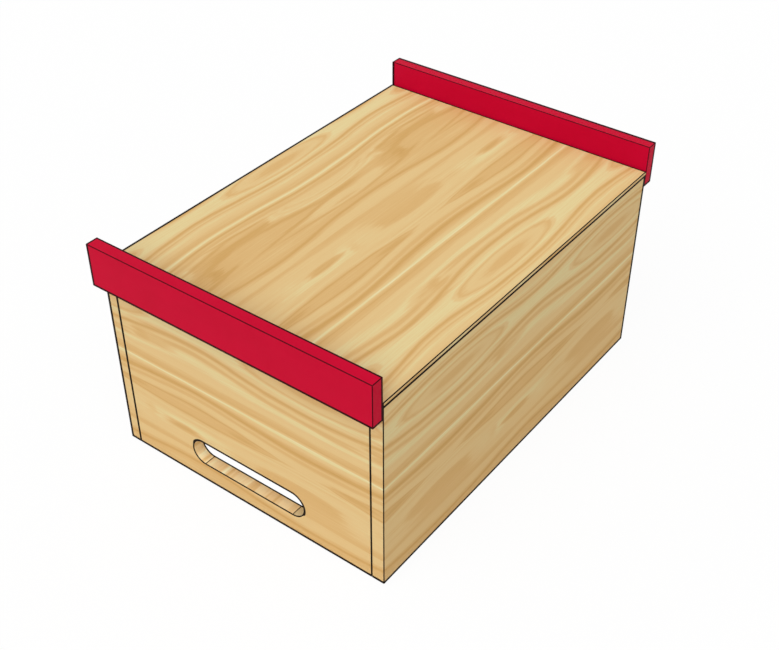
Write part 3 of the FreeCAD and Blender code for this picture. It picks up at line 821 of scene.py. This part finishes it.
inside_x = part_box("right_side")[0].x
for end, outward in ENDS:
    low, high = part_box(end + "_end")
    for side, sideways in (("left", -1), ("right", 1)):
        way = Vector((sideways * math.cos(POCKET_ANGLE), outward * math.sin(POCKET_ANGLE), 0))
        joint = Vector((sideways * inside_x, (low.y + high.y) / 2, 0))
        seat = joint - way * POCKET_SEAT
        heights = spread(low.z, high.z, POCKET_SETBACK, POCKETS_PER_JOINT)
        points = [(seat.x, seat.y, height) for height in heights]
        node = f"{end}_{side}_pocket_screws"
        sizes = POCKET_SCREW | THREAD
        piece = made_on_points(node + "_threaded", SCREWS, sizes, ZINC, points, -way)
        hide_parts(node)

for end, outward in ENDS:
    node = end + "_cleat_screws"
    low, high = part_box(node)
    way = Vector((0, outward, 0))
    head_top = high.y if outward > 0 else low.y
    seat = head_top - outward * (SUNK_HEAD_CONE + SUNK_HEAD_RIM)
    across = (high.x - low.x - SUNK_HEAD_WIDTH) / 2
    middle = (low.z + high.z) / 2
    points = [(x, seat, middle) for x in (-across, across)]
    sizes = SUNK_SCREW | THREAD
    piece = made_on_points(node + "_threaded", SCREWS, sizes, ZINC, points, way)
    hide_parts(node)

    low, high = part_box(end + "_cleat")
    face = high.y if outward > 0 else low.y
    mouth = SUNK_HEAD_WIDTH + 2 * SET_DEPTH * SUNK_HEAD_SLOPE
    sizes = {
        "Length": mouth,
        "Width": mouth,
        "Bottom Share": SUNK_HEAD_WIDTH / mouth,
        "Depth": SET_DEPTH,
    }
    points = [(x, face, middle) for x in (-across, across)]
    paint = finish_of(end + "_cleat")
    piece = made_on_points(end + "_cleat_plugs", ROUND_PLUGS, sizes, paint, points, way)

panel_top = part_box("base_panel")[1].z
nail_rows = []
for node in ("left_side", "right_side"):
    low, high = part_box(node)
    lengthwise = spread(low.y, high.y, NAIL_SETBACK_SIDE, NAILS_PER_SIDE)
    points = [((low.x + high.x) / 2, y, panel_top) for y in lengthwise]
    nail_rows.append((node, points, PIT_WIDTH, PIT_LENGTH))
for node in ("front_end", "rear_end"):
    low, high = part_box(node)
    crosswise = spread(low.x, high.x, NAIL_SETBACK_END, NAILS_PER_END)
    points = [(x, (low.y + high.y) / 2, panel_top) for x in crosswise]
    nail_rows.append((node, points, PIT_LENGTH, PIT_WIDTH))
for node, points, length, width in nail_rows:
    sizes = {"Length": length, "Width": width, "Bottom Share": 1.0, "Depth": SET_DEPTH}
    finish = finish_of("base_panel")
    piece = made_on_points(node + "_plugs", SQUARE_PLUGS, sizes, finish, points, (0, 0, 1))


# The studio: a pale floor with a hole under the box, so that its inside can be seen from below,
# soft light from all round, and a wide lamp in front and above.

# How strong the soft light is, and by what share it grows to the front and drops to the rear.
SOFT_LIGHT = 0.6
FRONT_SHARE = 0.5
LAMP_ENERGY = 1.6
LAMP_SPREAD = math.radians(70)
LAMP_PLACE = (0.28, -0.72, 1)

# How far the floor goes, how much of what is seen of it is plain white, and its colours for the
# rest of that and for the light that it throws back at the box.
FLOOR_REACH = 40
FLOOR_WHITE = 0.92
FLOOR_GREY, FLOOR_BOUNCE = (0.95,) * 3 + (1,), (0.93,) * 3 + (1,)


def studio():
    world = bpy.data.worlds.new("studio light")
    bpy.context.scene.world = world
    world.use_nodes = True
    world.node_tree.nodes.clear()
    n = Nodes(world.node_tree)
    rays = n.add("ShaderNodeLightPath").socket.node.outputs
    kinds = ("Is Camera Ray", "Is Glossy Ray", "Is Transmission Ray")
    direct, glossy, through = (Value(n, rays[kind]) for kind in kinds)
    shows = n.least(direct + glossy + through, 1)
    _, rearward, _ = n.split(n.add("ShaderNodeTexCoord", out="Generated"))
    strength = n.mix((1 - rearward * FRONT_SHARE) * SOFT_LIGHT, 1, shows)
    sky = n.add("ShaderNodeBackground", {"Color": (1, 1, 1, 1), "Strength": strength})
    n.add("ShaderNodeOutputWorld", {0: sky})

    material, n = new_material("pale floor")
    rays = n.add("ShaderNodeLightPath").socket.node.outputs
    shows = Value(n, rays["Is Camera Ray"])
    plain = n.add("ShaderNodeBsdfDiffuse", {"Color": n.blend(FLOOR_BOUNCE, FLOOR_GREY, shows)})
    white = n.add("ShaderNodeEmission", {"Color": (1, 1, 1, 1), "Strength": 1.0})
    shader = n.add("ShaderNodeMixShader", {0: shows * FLOOR_WHITE, 1: plain, 2: white})
    n.add("ShaderNodeOutputMaterial", {0: shader})

    # The hole reaches to the bevels of the rim, so that no floor lies against its flat underside.
    hole_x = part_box("right_side")[1].x - BEVEL * MM
    hole_y = abs(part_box("front_end")[0].y) - BEVEL * MM
    corners = [(-1, -1), (1, -1), (1, 1), (-1, 1)]
    points = [(x * FLOOR_REACH, y * FLOOR_REACH, 0) for x, y in corners]
    points += [(x * hole_x, y * hole_y, 0) for x, y in corners]
    faces = [(i, (i + 1) % 4, (i + 1) % 4 + 4, i + 4) for i in range(4)]
    mesh = bpy.data.meshes.new("floor")
    mesh.from_pydata(points, [], faces)
    mesh.materials.append(material)
    floor = bpy.data.objects.new("floor", mesh)
    bpy.context.scene.collection.objects.link(floor)

    lamp = bpy.data.lights.new("wide lamp", "SUN")
    lamp.energy = LAMP_ENERGY
    lamp.angle = LAMP_SPREAD
    lamp.cycles.max_bounces = 0
    lamp_object = bpy.data.objects.new("wide lamp", lamp)
    lamp_object.rotation_euler = Vector(LAMP_PLACE).to_track_quat("Z", "Y").to_euler()
    bpy.context.scene.collection.objects.link(lamp_object)


studio()

# The camera, placed by the corners of the box in the photograph: its focal length in pixels of the
# photograph, where it stands, how far it looks down, and how far it turns from straight ahead.
PHOTO_WIDTH = 779
FOCAL_LENGTH = 1219.5
SENSOR_WIDTH = 36
CAMERA_PLACE = (0.822206, -1.092519, 1.178243)
CAMERA_DOWN, CAMERA_TURN = 0.66222, 0.64415
FURTHEST_SEEN = 200

camera = bpy.data.cameras.new("camera")
camera.sensor_width = SENSOR_WIDTH
camera.lens = SENSOR_WIDTH * FOCAL_LENGTH / PHOTO_WIDTH
camera.clip_end = FURTHEST_SEEN
viewer = bpy.data.objects.new("camera", camera)
viewer.location = CAMERA_PLACE
viewer.rotation_euler = (math.pi / 2 - CAMERA_DOWN, 0, CAMERA_TURN)
bpy.context.scene.collection.objects.link(viewer)
bpy.context.scene.camera = viewer
bpy.context.scene.view_settings.view_transform = "Standard"
